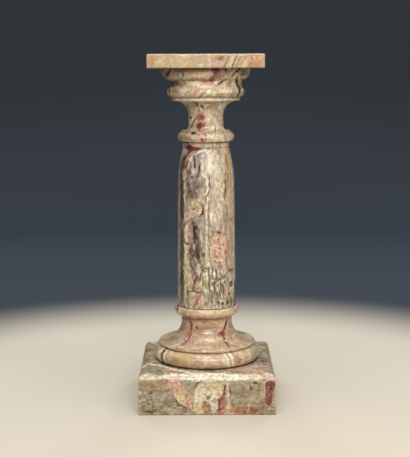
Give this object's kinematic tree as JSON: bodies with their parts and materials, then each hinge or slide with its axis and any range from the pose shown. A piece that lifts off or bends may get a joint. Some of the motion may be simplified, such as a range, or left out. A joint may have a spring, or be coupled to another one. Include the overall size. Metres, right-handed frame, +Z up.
{
  "type": "marble display column",
  "caption": "Turned stone column on a moulded square plinth, with a square slab on top to stand a bust, vase or plant on.",
  "frame": {"origin": "middle of the plinth's underside, on the floor", "axes": "+Z up along the column's axis; +X and +Y square to the plinth's sides, -Y towards the front that the picture shows"},
  "size_m": [0.385, 0.385, 1],
  "materials": {
    "plinth_marble": "gloss",
    "base_marble": "polished",
    "shaft_marble": "polished",
    "capital_marble": "polished",
    "slab_marble": "gloss"
  },
  "bodies": {
    "root": {"plinth": "plinth_marble", "base": "base_marble", "shaft": "shaft_marble", "capital": "capital_marble", "top_slab": "slab_marble"}
  },
  "joints": []
}
